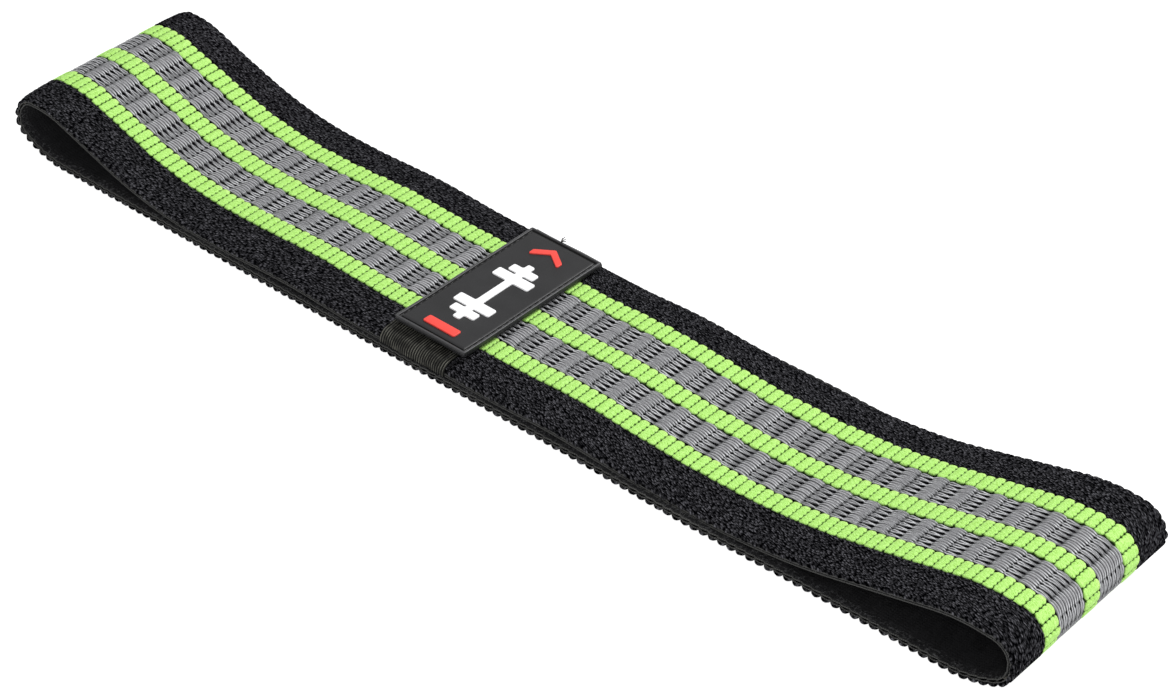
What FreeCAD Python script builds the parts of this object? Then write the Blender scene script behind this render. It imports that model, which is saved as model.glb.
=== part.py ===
"""Fabric resistance band: one loop of woven elastic webbing, closed by a bound seam under a soft label.

The band lies flat on its lower run, as it does on a table. +X runs along the band, +Y across the
webbing towards its back edge and +Z up. The origin is the middle of the bounding box's base.
Lengths are in millimetres. The webbing follows one loop line, its middle surface seen along +Y:
straight runs joined by tangent arcs. Each layer is the strip between two offsets from that line,
pushed across the width, with positive offsets on the loop's outside.
"""

import FreeCAD
import Part
import math
import os

# Webbing
BAND_WIDTH = 80.0
BAND_THICKNESS = 3.0
CORE_THICKNESS = 0.7
STRIPE_DEPTH = 0.8
GREEN_MIDDLE_WIDTH = 8.0
GREY_WIDTH = 13.1
GREEN_OUTER_WIDTH = 7.9
STRAND_WIDTH = 1.0
STRAND_PITCH = 2.0
SELVEDGE_WIDTH = 1.6

# Loop line: the nose of each fold, the height of the top run at the seam and where the seam is
NOSE_X = 216.5
LOWER_RUN_Z = BAND_THICKNESS / 2
SEAM_RUN_Z = 6.4
SEAM_X = -22.5

# Seam: what the label covers
SEAM_LENGTH = 29.0
TAPE_THICKNESS = 0.6
THREAD_HEIGHT = 0.3
THREAD_WIDTH = 0.5
BINDING_GAP = 0.35
TAPE_CORNER_RADIUS = 1.6

# Label, sewn on a little to the right of the butt joint
LABEL_X = -20.0
LABEL_LENGTH = 31.4
LABEL_WIDTH = 68.4
LABEL_THICKNESS = 1.7
LABEL_CORNER_RADIUS = 0.8
RIM_WIDTH = 1.0
RIM_HEIGHT = 0.35
GROOVE_WIDTH = 0.7
GROOVE_DEPTH = 0.5
GRAPHIC_HEIGHT = 0.5

HALF_WIDTH = BAND_WIDTH / 2
FACE = BAND_THICKNESS / 2
CORE = CORE_THICKNESS / 2
GREEN_EDGE = GREEN_MIDDLE_WIDTH / 2
GREY_EDGE = GREEN_EDGE + GREY_WIDTH
STRIPES_EDGE = GREY_EDGE + GREEN_OUTER_WIDTH
SEAM_LEFT_X = SEAM_X - SEAM_LENGTH / 2
SEAM_RIGHT_X = SEAM_X + SEAM_LENGTH / 2

# Corners of the loop line (x, z, arc radius) from the seam along the top run, round each fold and
# back along the lower run to below the seam's middle.
RIGHT_CORNERS = [
    (14.0, SEAM_RUN_Z, 200.0),
    (37.0, 7.6, 180.0),
    (72.0, 5.6, 300.0),
    (122.0, 5.2, 250.0),
    (196.0, 22.9, 60.0),
    (NOSE_X, 21.5, 8.3),
    (NOSE_X, 8.2, 8.3),
    (203.3, LOWER_RUN_Z, 38.0),
]
LEFT_CORNERS = [
    (-52.0, SEAM_RUN_Z, 300.0),
    (-82.0, 7.6, 200.0),
    (-112.0, 5.9, 300.0),
    (-148.0, 5.9, 140.0),
    (-199.3, 23.0, 35.0),
    (-NOSE_X, 22.2, 8.3),
    (-NOSE_X, 10.0, 7.5),
    (-204.3, LOWER_RUN_Z, 34.0),
]


def loop_corners(side):
    """The half's run from the seam's edge to the middle of the lower run, end points included."""
    if side == "right":
        start_x, corners = SEAM_RIGHT_X, RIGHT_CORNERS
    else:
        start_x, corners = SEAM_LEFT_X, LEFT_CORNERS
    return [(start_x, SEAM_RUN_Z, 0.0), *corners, (SEAM_X, LOWER_RUN_Z, 0.0)]


def unit(start, end):
    length = math.hypot(end[0] - start[0], end[1] - start[1])
    return (end[0] - start[0]) / length, (end[1] - start[1]) / length


def point(x, z):
    return FreeCAD.Vector(x, 0, z)


def offset_edges(corners, side, offset):
    """Lines and arcs of a half's loop line, moved by offset towards the loop's outside."""
    outward = 1 if side == "right" else -1
    edges = []
    last = None
    for i, (x, z, radius) in enumerate(corners):
        before = unit(corners[max(i - 1, 0)], corners[max(i, 1)])
        after = unit(corners[min(i, len(corners) - 2)], corners[min(i + 1, len(corners) - 1)])
        across = before[0] * after[1] - before[1] * after[0]
        ahead = before[0] * after[0] + before[1] * after[1]
        turn = math.atan2(across, ahead)
        tangent = radius * math.tan(abs(turn) / 2)
        left_in = (-before[1] * outward * offset, before[0] * outward * offset)
        left_out = (-after[1] * outward * offset, after[0] * outward * offset)
        arc_start = point(x - before[0] * tangent + left_in[0], z - before[1] * tangent + left_in[1])
        arc_end = point(x + after[0] * tangent + left_out[0], z + after[1] * tangent + left_out[1])
        if last is not None:
            edges.append(Part.LineSegment(last, arc_start).toShape())
        if radius:
            sign = 1 if turn > 0 else -1
            centre = point(
                x - before[0] * tangent - before[1] * sign * radius,
                z - before[1] * tangent + before[0] * sign * radius,
            )
            middle = arc_start + arc_end - centre * 2
            middle = centre + middle.normalize() * (radius - sign * outward * offset)
            edges.append(Part.Arc(arc_start, middle, arc_end).toShape())
        last = arc_end
    return edges


def layer(side, low, high, front, back):
    """A half's strip between two offsets from its loop line and between two places across the width."""
    corners = loop_corners(side)
    inner = offset_edges(corners, side, low)
    outer = offset_edges(corners, side, high)
    ends = []
    for which in (0, -1):
        ends.append(
            Part.LineSegment(
                inner[which].firstVertex().Point if which == 0 else inner[which].lastVertex().Point,
                outer[which].firstVertex().Point if which == 0 else outer[which].lastVertex().Point,
            ).toShape()
        )
    wire = Part.Wire(Part.__sortEdges__([*inner, *outer, *ends]))
    strip = Part.Face(wire).extrude(FreeCAD.Vector(0, back - front, 0))
    strip.translate(FreeCAD.Vector(0, front, 0))
    return strip


def block(x0, y0, z0, x1, y1, z1):
    return Part.makeBox(x1 - x0, y1 - y0, z1 - z0, FreeCAD.Vector(x0, y0, z0))


def rounded_block(x0, y0, z0, x1, y1, z1, radius):
    """A block with its four upright edges rounded."""
    solid = block(x0, y0, z0, x1, y1, z1)
    upright = [e for e in solid.Edges if abs(e.tangentAt(e.FirstParameter).z) > 0.99]
    return solid.makeFillet(radius, upright)


def plate(outline, base, height):
    """A flat plate of that outline, a list of (x, y), from base up."""
    points = [FreeCAD.Vector(x, y, base) for x, y in outline]
    wire = Part.makePolygon([*points, points[0]])
    solid = Part.Face(wire).extrude(FreeCAD.Vector(0, 0, height))
    return solid if solid.Volume > 0 else solid.reversed()


def outer_ply(side):
    """Face ply: full thickness in both black margins, thinner under the inlaid stripes."""
    floor_of_inlay = FACE - STRIPE_DEPTH
    parts = [
        layer(side, CORE, FACE, -HALF_WIDTH, -STRIPES_EDGE),
        layer(side, CORE, floor_of_inlay, -STRIPES_EDGE, STRIPES_EDGE),
        layer(side, CORE, FACE, STRIPES_EDGE, HALF_WIDTH),
    ]
    return parts[0].fuse(parts[1:]).removeSplitter()


def stripe(side, front, back):
    return layer(side, FACE - STRIPE_DEPTH, FACE, front, back)


def rubber_strands(side):
    """Elastic core: rubber strands side by side between the plies, inside the two selvedges."""
    reach = HALF_WIDTH - SELVEDGE_WIDTH - STRAND_PITCH / 2
    count = int(2 * reach / STRAND_PITCH) + 1
    first = -(count - 1) * STRAND_PITCH / 2
    strands = []
    for i in range(count):
        middle = first + i * STRAND_PITCH
        strands.append(layer(side, -CORE, CORE, middle - STRAND_WIDTH / 2, middle + STRAND_WIDTH / 2))
    return Part.makeCompound(strands)


def strap_end(side):
    """The last length of webbing at the butt joint, bound by the tape."""
    x0, x1 = (SEAM_X, SEAM_RIGHT_X) if side == "right" else (SEAM_LEFT_X, SEAM_X)
    return block(x0, -HALF_WIDTH, SEAM_RUN_Z - FACE, x1, HALF_WIDTH, SEAM_RUN_Z + FACE)


def zigzag(base):
    """Legs of one zigzag thread across the butt joint, flat on the webbing between its needle holes."""
    reach, step, last, shown = 3.5, 3.6, HALF_WIDTH - 4.0, 0.7
    half = THREAD_WIDTH / 2 / math.cos(math.atan2(2 * reach, step))
    legs = []
    for i in range(int(2 * last / step)):
        lean = 1 if i % 2 else -1
        middle = -last + (i + 0.5) * step
        x, y = lean * reach * shown, step / 2 * shown
        outline = [
            (SEAM_X - x, middle - y - half),
            (SEAM_X + x, middle + y - half),
            (SEAM_X + x, middle + y + half),
            (SEAM_X - x, middle - y + half),
        ]
        legs.append(plate(outline, base, THREAD_HEIGHT))
    return legs


def join_stitches():
    top = zigzag(SEAM_RUN_Z + FACE)
    under = zigzag(SEAM_RUN_Z - FACE - THREAD_HEIGHT)
    return Part.makeCompound(top + under)


def cover_tape():
    """Grosgrain tape that goes once round the butt joint, over both faces and both edges."""
    inside_y = HALF_WIDTH + BINDING_GAP
    inside_z = FACE + BINDING_GAP
    sleeve = []
    for grow, radius in ((TAPE_THICKNESS, TAPE_CORNER_RADIUS), (0.0, TAPE_CORNER_RADIUS - TAPE_THICKNESS)):
        y, z = inside_y + grow, inside_z + grow
        solid = block(SEAM_LEFT_X, -y, SEAM_RUN_Z - z, SEAM_RIGHT_X, y, SEAM_RUN_Z + z)
        along = [e for e in solid.Edges if abs(e.tangentAt(e.FirstParameter).x) > 0.99]
        sleeve.append(solid.makeFillet(radius, along))
    return sleeve[0].cut(sleeve[1])


TAPE_TOP = SEAM_RUN_Z + FACE + BINDING_GAP + TAPE_THICKNESS
TAPE_BOTTOM = SEAM_RUN_Z - FACE - BINDING_GAP - TAPE_THICKNESS
LABEL_BASE = TAPE_TOP + THREAD_HEIGHT
LABEL_FACE = LABEL_BASE + LABEL_THICKNESS


def straight_row(x, base):
    """A row of lock stitches along Y, close to an edge of the tape."""
    stitch, pitch, last = 2.6, 3.4, HALF_WIDTH - 3.0
    count = int(2 * last / pitch) + 1
    row = []
    for i in range(count):
        y = -(count - 1) * pitch / 2 + i * pitch
        half_x, half_y = THREAD_WIDTH / 2, stitch / 2
        row.append(block(x - half_x, y - half_y, base, x + half_x, y + half_y, base + THREAD_HEIGHT))
    return row


def tape_stitches():
    inset = 2.0
    stitches = []
    for x in (SEAM_LEFT_X + inset, SEAM_RIGHT_X - inset):
        stitches += straight_row(x, TAPE_TOP)
        stitches += straight_row(x, TAPE_BOTTOM - THREAD_HEIGHT)
    return Part.makeCompound(stitches)


def label_frame(inset, low, high):
    """A block of the label's outline, drawn in by inset on all four sides."""
    x, y = LABEL_LENGTH / 2 - inset, LABEL_WIDTH / 2 - inset
    return rounded_block(LABEL_X - x, -y, low, LABEL_X + x, y, high, LABEL_CORNER_RADIUS)


def label_base():
    """Soft moulded label: a raised rim, a stitching groove inside it and a flat field."""
    body = label_frame(0.0, LABEL_BASE, LABEL_FACE + RIM_HEIGHT)
    body = body.cut(label_frame(RIM_WIDTH, LABEL_FACE, LABEL_FACE + RIM_HEIGHT))
    groove = label_frame(RIM_WIDTH, LABEL_FACE - GROOVE_DEPTH, LABEL_FACE)
    groove = groove.cut(label_frame(RIM_WIDTH + GROOVE_WIDTH, LABEL_FACE - GROOVE_DEPTH, LABEL_FACE))
    return body.cut(groove)


def label_stitches():
    """Lock stitches that lie in the groove all the way round."""
    stitch, pitch = 2.2, 3.0
    base = LABEL_FACE - GROOVE_DEPTH
    middle = RIM_WIDTH + GROOVE_WIDTH / 2
    reach_x, reach_y = LABEL_LENGTH / 2 - middle, LABEL_WIDTH / 2 - middle
    half = THREAD_WIDTH / 2
    stitches = []
    for along, across in ((reach_x, reach_y), (reach_y, reach_x)):
        count = int((2 * along - 2 * stitch) / pitch) + 1
        for i in range(count):
            place = -(count - 1) * pitch / 2 + i * pitch
            for edge in (-across, across):
                a0, a1, b0, b1 = place - stitch / 2, place + stitch / 2, edge - half, edge + half
                if along == reach_x:
                    x0, x1, y0, y1 = a0, a1, b0, b1
                else:
                    x0, x1, y0, y1 = b0, b1, a0, a1
                stitches.append(block(LABEL_X + x0, y0, base, LABEL_X + x1, y1, base + THREAD_HEIGHT))
    return Part.makeCompound(stitches)


def label_bar():
    """Plain raised bar across the label near its front end."""
    length, width, middle_y, radius = 14.0, 3.8, -28.0, 0.7
    return rounded_block(
        LABEL_X - length / 2, middle_y - width / 2, LABEL_FACE,
        LABEL_X + length / 2, middle_y + width / 2, LABEL_FACE + GRAPHIC_HEIGHT, radius,
    )


def label_dumbbell():
    """Raised dumbbell sign along the label: a handle and two plates at each end."""
    middle_y, handle, handle_half = -2.5, 3.0, 19.0
    plates = [(9.6, 4.4, 16.0), (14.6, 3.6, 11.0)]
    top = LABEL_FACE + GRAPHIC_HEIGHT
    sign = rounded_block(
        LABEL_X - handle / 2, middle_y - handle_half, LABEL_FACE,
        LABEL_X + handle / 2, middle_y + handle_half, top, 0.7,
    )
    for away, width, length in plates:
        for end in (-1, 1):
            y = middle_y + end * away
            sign = sign.fuse(
                rounded_block(
                    LABEL_X - length / 2, y - width / 2, LABEL_FACE,
                    LABEL_X + length / 2, y + width / 2, top, 0.9,
                )
            )
    return sign.removeSplitter()


def label_chevron():
    """Raised chevron at the label's back end."""
    reach, rise, width, tip_y = 6.5, 4.5, 3.0, 29.0
    outline = [
        (LABEL_X, tip_y),
        (LABEL_X + reach, tip_y - rise),
        (LABEL_X + reach, tip_y - rise - width),
        (LABEL_X, tip_y - width),
        (LABEL_X - reach, tip_y - rise - width),
        (LABEL_X - reach, tip_y - rise),
    ]
    return plate(outline, LABEL_FACE, GRAPHIC_HEIGHT)


def half_nodes(side):
    """The nodes of one elastic half of the loop."""
    return {
        "outer_ply": outer_ply(side),
        "inner_ply": layer(side, -FACE, -CORE, -HALF_WIDTH, HALF_WIDTH),
        "rubber_strands": rubber_strands(side),
        "selvedge_front": layer(side, -CORE, CORE, -HALF_WIDTH, SELVEDGE_WIDTH - HALF_WIDTH),
        "selvedge_back": layer(side, -CORE, CORE, HALF_WIDTH - SELVEDGE_WIDTH, HALF_WIDTH),
        "green_stripe_front": stripe(side, -STRIPES_EDGE, -GREY_EDGE),
        "grey_stripe_front": stripe(side, -GREY_EDGE, -GREEN_EDGE),
        "green_stripe_middle": stripe(side, -GREEN_EDGE, GREEN_EDGE),
        "grey_stripe_back": stripe(side, GREEN_EDGE, GREY_EDGE),
        "green_stripe_back": stripe(side, GREY_EDGE, STRIPES_EDGE),
    }


def all_nodes():
    nodes = {}
    for side in ("left", "right"):
        for name, shape in half_nodes(side).items():
            nodes[f"{side}_{name}"] = shape
        nodes[f"{side}_strap_end"] = strap_end(side)
    nodes["join_stitches"] = join_stitches()
    nodes["cover_tape"] = cover_tape()
    nodes["tape_stitches"] = tape_stitches()
    nodes["label_base"] = label_base()
    nodes["label_stitches"] = label_stitches()
    nodes["label_bar"] = label_bar()
    nodes["label_dumbbell"] = label_dumbbell()
    nodes["label_chevron"] = label_chevron()
    return nodes


os.makedirs("parts", exist_ok=True)
for name, shape in all_nodes().items():
    shape.exportStep(os.path.join("parts", name + ".step"))
    box = shape.BoundBox
    print(f"{name}: {len(shape.Solids)} solids, valid {shape.isValid()}, {shape.Volume:.0f} mm3")
    print(f"  x {box.XMin:.1f} to {box.XMax:.1f}, y {box.YMin:.1f} to {box.YMax:.1f}")
    print(f"  z {box.ZMin:.2f} to {box.ZMax:.2f}")
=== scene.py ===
"""A fabric resistance band: one loop of striped elastic webbing with a taped seam under a soft label."""

import math

import bpy
import numpy as np
from mathutils import Matrix, Vector


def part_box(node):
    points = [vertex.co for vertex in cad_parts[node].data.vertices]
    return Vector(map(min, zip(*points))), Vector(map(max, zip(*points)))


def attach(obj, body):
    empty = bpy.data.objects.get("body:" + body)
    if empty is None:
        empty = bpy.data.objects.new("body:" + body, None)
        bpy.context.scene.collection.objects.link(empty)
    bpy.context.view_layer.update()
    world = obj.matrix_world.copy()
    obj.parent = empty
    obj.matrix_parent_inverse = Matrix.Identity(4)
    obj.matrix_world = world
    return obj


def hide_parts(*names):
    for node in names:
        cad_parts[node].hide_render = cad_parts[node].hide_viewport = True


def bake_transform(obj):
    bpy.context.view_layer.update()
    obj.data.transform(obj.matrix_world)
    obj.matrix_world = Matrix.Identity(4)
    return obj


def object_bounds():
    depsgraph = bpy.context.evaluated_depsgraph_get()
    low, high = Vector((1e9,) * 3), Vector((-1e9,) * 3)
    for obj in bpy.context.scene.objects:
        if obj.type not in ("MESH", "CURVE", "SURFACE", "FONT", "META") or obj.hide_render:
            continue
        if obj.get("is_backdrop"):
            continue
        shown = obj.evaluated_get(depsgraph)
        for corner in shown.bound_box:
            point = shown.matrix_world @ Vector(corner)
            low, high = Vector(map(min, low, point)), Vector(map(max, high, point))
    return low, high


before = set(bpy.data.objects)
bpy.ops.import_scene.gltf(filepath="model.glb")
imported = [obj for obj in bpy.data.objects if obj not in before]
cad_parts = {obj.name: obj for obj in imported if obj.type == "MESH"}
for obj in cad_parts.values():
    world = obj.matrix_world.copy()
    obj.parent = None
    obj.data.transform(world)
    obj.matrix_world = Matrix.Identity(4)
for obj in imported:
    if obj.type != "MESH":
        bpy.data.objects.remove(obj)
cad_low, cad_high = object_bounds()
MM = 0.001

# ---------------------------------------------------------------------------------------------
# Rubber core. Thirty-eight square-cut rubber strands lie side by side between the two plies and
# give the band its stretch. The weaving holds them in line with the loop, seam to seam.

SIDES = ("left", "right")
TUCK = 3 * MM  # how far the webbing goes in under the cover tape
tape_low, tape_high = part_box("cover_tape")
seam_x = (tape_low.x + tape_high.x) / 2
seam_z = (tape_low.z + tape_high.z) / 2
strap_low, strap_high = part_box("left_strap_end")
half_width = strap_high.y
half_thickness = (strap_high.z - strap_low.z) / 2
nose_x = cad_high.x - half_thickness

# The loop line: corners (x, z) with the radius of the arc that rounds each, all in millimetres
nose = nose_x / MM
top_run = seam_z / MM
low_run = half_thickness / MM
CORNERS = {
    "right": [(14, top_run, 200), (37, 7.6, 180), (72, 5.6, 300), (122, 5.2, 250), (196, 22.9, 60),
              (nose, 21.5, 8.3), (nose, 8.2, 8.3), (203.3, low_run, 38)],
    "left": [(-52, top_run, 300), (-82, 7.6, 200), (-112, 5.9, 300), (-148, 5.9, 140), (-199.3, 23, 35),
             (-nose, 22.2, 8.3), (-nose, 10, 7.5), (-204.3, low_run, 34)],
}
START_X = {"right": tape_high.x - TUCK, "left": tape_low.x + TUCK}


class Route:
    """Half of the loop's middle surface, seen along +Y and measured by the way run along it."""

    FLAT_WIDTH = 20 * MM  # half of the middle part, which stays flat
    ARC_STEP = 0.5 * MM

    def __init__(self, side):
        corners = [(x * MM, z * MM, r * MM) for x, z, r in CORNERS[side]]
        ends = [(START_X[side], seam_z, 0), (seam_x, half_thickness, 0)]
        stops = [ends[0], *corners, ends[1]]
        self.outward = 1 if side == "right" else -1
        x, z, heading = [], [], []
        for i, (cx, cz, radius) in enumerate(stops):
            before, after = stops[max(i - 1, 0)], stops[min(i + 1, len(stops) - 1)]
            way_in = math.atan2(cz - before[1], cx - before[0]) if i else None
            way_out = math.atan2(after[1] - cz, after[0] - cx) if i < len(stops) - 1 else way_in
            way_in = way_out if way_in is None else way_in
            turn = (way_out - way_in + math.pi) % (2 * math.pi) - math.pi
            reach = radius * math.tan(abs(turn) / 2)
            steps = max(1, math.ceil(radius * abs(turn) / self.ARC_STEP))
            for k in range(steps + 1 if radius else 1):
                angle = way_in + turn * k / steps
                chord = 2 * radius * math.sin(turn * k / steps / 2) * (1 if turn > 0 else -1)
                middle = way_in + turn * k / steps / 2
                x.append(cx - reach * math.cos(way_in) + chord * math.cos(middle))
                z.append(cz - reach * math.sin(way_in) + chord * math.sin(middle))
                heading.append(angle)
        self.x, self.z = np.array(x), np.array(z)
        self.heading = np.unwrap(heading)
        self.way = np.concatenate([[0], np.cumsum(np.hypot(np.diff(x), np.diff(z)))])
        self.length = float(self.way[-1])

    def below(self, way):
        """1 where the webbing's face looks down, 0 where it looks up."""
        up = np.cos(np.interp(way, self.way, self.heading)) * self.outward
        t = np.clip((0.75 - up) / 1.1, 0, 1)
        return t * t * (3 - 2 * t)

    def place(self, way, across, lift):
        """Points in the frame from the way along the loop, the place across it and the lift off it."""
        way, across, lift = np.broadcast_arrays(way, across, lift)
        heading = np.interp(way, self.way, self.heading)
        out_x, out_z = -np.sin(heading) * self.outward, np.cos(heading) * self.outward
        # Both edges of the upper run curl down and in, most of all near the seam and not at all round the
        # fold. The lower run lies flat.
        upper = np.clip(0.5 + 0.9 * out_z, 0, 1)
        edge = np.clip((np.abs(across) - self.FLAT_WIDTH) / (half_width - self.FLAT_WIDTH), 0, 1.1) ** 2
        curl = 1.2 * np.clip((215 * MM - way) / (65 * MM), 0, 1) + 0.65 * np.exp(-((way / (90 * MM)) ** 2))
        curl = edge * upper * curl * MM
        middle_x = np.interp(way, self.way, self.x)
        spread = edge * (1 - upper) * (0.6 + 0.9 * np.exp(-(((middle_x - 95 * MM) / (32 * MM)) ** 2))) * MM
        draw_in = curl * np.where(across < 0, 0.2, 1.0)
        return np.stack(
            [
                middle_x + out_x * (lift - curl),
                across + np.sign(across) * (spread - draw_in),
                np.interp(way, self.way, self.z) + out_z * (lift - curl),
            ],
            axis=-1,
        )


routes = {side: Route(side) for side in SIDES}
RIB_PITCH = 3.62 * MM
rib_counts = {side: round(routes[side].length / RIB_PITCH) for side in SIDES}
pitches = {side: routes[side].length / rib_counts[side] for side in SIDES}


def quad_mesh(name, points, strap=None, rows_close=False, columns_close=False):
    """One mesh of quads from point grids shaped (grids, rows, columns, 3). Closing joins last to first;
    grids whose columns close but whose rows don't get an end face at each end."""
    grids, rows, columns = points.shape[:3]
    index = np.arange(grids * rows * columns).reshape(grids, rows, columns)
    r = np.arange(rows if rows_close else rows - 1)
    c = np.arange(columns if columns_close else columns - 1)
    a = index[:, r][:, :, c]
    b = index[:, (r + 1) % rows][:, :, c]
    e = index[:, (r + 1) % rows][:, :, (c + 1) % columns]
    d = index[:, r][:, :, (c + 1) % columns]
    loops = [np.stack([a, b, e, d], axis=-1).reshape(-1)]
    totals = [np.full(loops[0].size // 4, 4)]
    if columns_close and not rows_close:
        for ends in (index[:, 0], index[:, -1, ::-1]):
            loops.append(ends.reshape(-1))
            totals.append(np.full(grids, columns))
    loops, totals = np.concatenate(loops), np.concatenate(totals)
    mesh = bpy.data.meshes.new(name)
    mesh.vertices.add(index.size)
    mesh.vertices.foreach_set("co", points.reshape(-1).astype(np.float32))
    mesh.loops.add(loops.size)
    mesh.loops.foreach_set("vertex_index", loops.astype(np.int32))
    mesh.polygons.add(totals.size)
    mesh.polygons.foreach_set("loop_start", (np.cumsum(totals) - totals).astype(np.int32))
    if strap is not None:
        layer = mesh.attributes.new("strap", "FLOAT_VECTOR", "POINT")
        layer.data.foreach_set("vector", (strap / MM).reshape(-1).astype(np.float32))
    mesh.update(calc_edges=True)
    mesh.validate()
    mesh.shade_smooth()
    piece = bpy.data.objects.new(name, mesh)
    bpy.context.scene.collection.objects.link(piece)
    return piece


def on_strap(name, side, way, across, lift, finish, node, own=None, columns_close=True):
    """A piece of a half's webbing: it stretches from the seam to the fold and replaces its CAD node."""
    way, across, lift = np.broadcast_arrays(way, across, lift)
    strap = np.stack(np.broadcast_arrays(*own, way)[:3] if own else [way, across, lift], axis=-1)
    piece = quad_mesh(name, routes[side].place(way, across, lift), strap, columns_close=columns_close)
    piece.data.materials.append(finish)
    start, end = (tape_high.x, cad_high.x) if side == "right" else (tape_low.x, cad_low.x)
    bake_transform(piece)
    if node:
        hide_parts(f"{side}_{node}")
    return piece


class Wire:
    """One output of a shader tree. Sums on it add Math nodes."""

    def __init__(self, finish, socket):
        self.finish, self.socket = finish, socket

    def math(self, operation, *values):
        return self.finish.node("Math", {"operation": operation}, *values)

    def __add__(self, other):
        return self.math("ADD", self, other)

    def __sub__(self, other):
        return self.math("SUBTRACT", self, other)

    def __rsub__(self, other):
        return self.math("SUBTRACT", other, self)

    def __mul__(self, other):
        return self.math("MULTIPLY", self, other)

    def __truediv__(self, other):
        return self.math("DIVIDE", self, other)

    def __rtruediv__(self, other):
        return self.math("DIVIDE", other, self)

    def __pow__(self, other):
        return self.math("POWER", self, other)

    def wave(self):
        """Sine of this value in turns, from 0 to 1."""
        return self.math("SINE", self * (2 * math.pi)) * 0.5 + 0.5

    def clamp(self):
        return self.math("MINIMUM", self.math("MAXIMUM", self, 0.0), 1.0)

    __radd__, __rmul__ = __add__, __mul__


class Finish:
    """A material in the making, with one Principled shader."""

    def __init__(self, name, **constants):
        self.material = bpy.data.materials.new(name)
        self.material.use_nodes = True
        self.tree = self.material.node_tree
        self.shader = next(n for n in self.tree.nodes if n.type == "BSDF_PRINCIPLED")
        for socket, value in constants.items():
            self.shader.inputs[socket.replace("_", " ")].default_value = value

    def connect(self, socket, value):
        if isinstance(value, Wire):
            self.tree.links.new(value.socket, socket)
        elif socket.type == "RGBA" and len(value) == 3:
            socket.default_value = (*value, 1)
        else:
            socket.default_value = value

    def node(self, kind, settings=None, *values, out=0, **sockets):
        """Adds a node: its settings first, then its sockets by order or by name."""
        made = self.tree.nodes.new("ShaderNode" + kind)
        for key, value in (settings or {}).items():
            setattr(made, key, value)
        for socket, value in zip(made.inputs, values):
            self.connect(socket, value)
        for key, value in sockets.items():
            live = [s for s in made.inputs if s.name == key.replace("_", " ") and s.enabled]
            self.connect(live[0], value)
        outputs = [s for s in made.outputs if s.enabled]
        return Wire(self, outputs[out])

    def strap(self):
        """The strap's own coordinates in millimetres: way along, place across, lift."""
        vector = self.node("Attribute", {"attribute_name": "strap"}, out=1)
        return vector, [self.node("SeparateXYZ", None, vector, out=i) for i in range(3)]

    def squeezed(self, vector, scale):
        return self.node("VectorMath", {"operation": "MULTIPLY"}, vector, scale)

    def noise(self, vector, scale, detail=2.0, roughness=0.5):
        return self.node("TexNoise", None, Vector=vector, Scale=scale, Detail=detail, Roughness=roughness)

    def blend(self, amount, low, high):
        return self.node("Mix", {"data_type": "RGBA"}, Factor=amount, A=low, B=high)

    def bump(self, height, depth, strength=1.0):
        return self.node("Bump", None, Strength=strength, Distance=depth, Height=height)

    def done(self, **inputs):
        for socket, value in inputs.items():
            self.connect(self.shader.inputs[socket.replace("_", " ")], value)
        return self.material


def latex():
    finish = Finish("latex", Roughness=0.55)
    vector, _ = finish.strap()
    dust = finish.noise(vector, 0.8, 4.0)
    colour = finish.blend(dust, (0.66, 0.6, 0.48), (0.82, 0.78, 0.68))
    return finish.done(Base_Color=colour, Normal=finish.bump(dust, 0.05 * MM))


STRAND_PITCH, STRAND_WIDTH, STRAND_HEIGHT = 2 * MM, 1 * MM, 0.7 * MM
latex_finish = latex()
for side in SIDES:
    strand_low, strand_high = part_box(f"{side}_rubber_strands")
    middles = np.arange(strand_low.y + STRAND_WIDTH / 2, strand_high.y, STRAND_PITCH)
    way = np.linspace(0, routes[side].length, 260)
    ring = np.linspace(0, 2 * math.pi, 8, endpoint=False)
    across = middles[:, None, None] + np.sign(np.cos(ring)) * np.abs(np.cos(ring)) ** 0.5 * STRAND_WIDTH / 2
    lift = np.sign(np.sin(ring)) * np.abs(np.sin(ring)) ** 0.5 * STRAND_HEIGHT / 2
    on_strap(f"rubber_strands_{side}", side, way[:, None] + 0 * across, across, lift, latex_finish,
             "rubber_strands")

# ---------------------------------------------------------------------------------------------
# Inner ply. The plain black back of the webbing, brushed soft where it lies on the skin. It is
# woven in one with the face and shows inside both folds.

PLY_GAP = 0.38 * MM


def brushed_black():
    finish = Finish("brushed_black", Roughness=0.95, Specular_IOR_Level=0.05)
    vector, (along, across, _) = finish.strap()
    nap = finish.noise(vector, 2.4, 5.0, 0.7)
    patches = finish.noise(vector, 0.18, 3.0)
    weave = (along * 1.1).wave() * (across * 0.9).wave()
    tone = nap * 0.7 + patches * 0.3
    plain = finish.blend((tone * 2.0 - 0.5).clamp(), (0.003, 0.003, 0.0032), (0.032, 0.032, 0.034))
    edge = ((across.math("ABSOLUTE", across) - 36.5) * 0.5).clamp()
    clumps = ((finish.noise(vector, 1.1, 3.0, 0.6) - 0.5) * 5.0).clamp()
    colour = finish.blend(clumps * edge, plain, (0.11, 0.11, 0.115))
    height = nap * 0.8 + weave * 0.4 + clumps * edge
    return finish.done(Base_Color=colour, Normal=finish.bump(height, 0.4 * MM))


def smooth(value):
    value = np.clip(value, 0, 1)
    return value * value * (3 - 2 * value)


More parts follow.
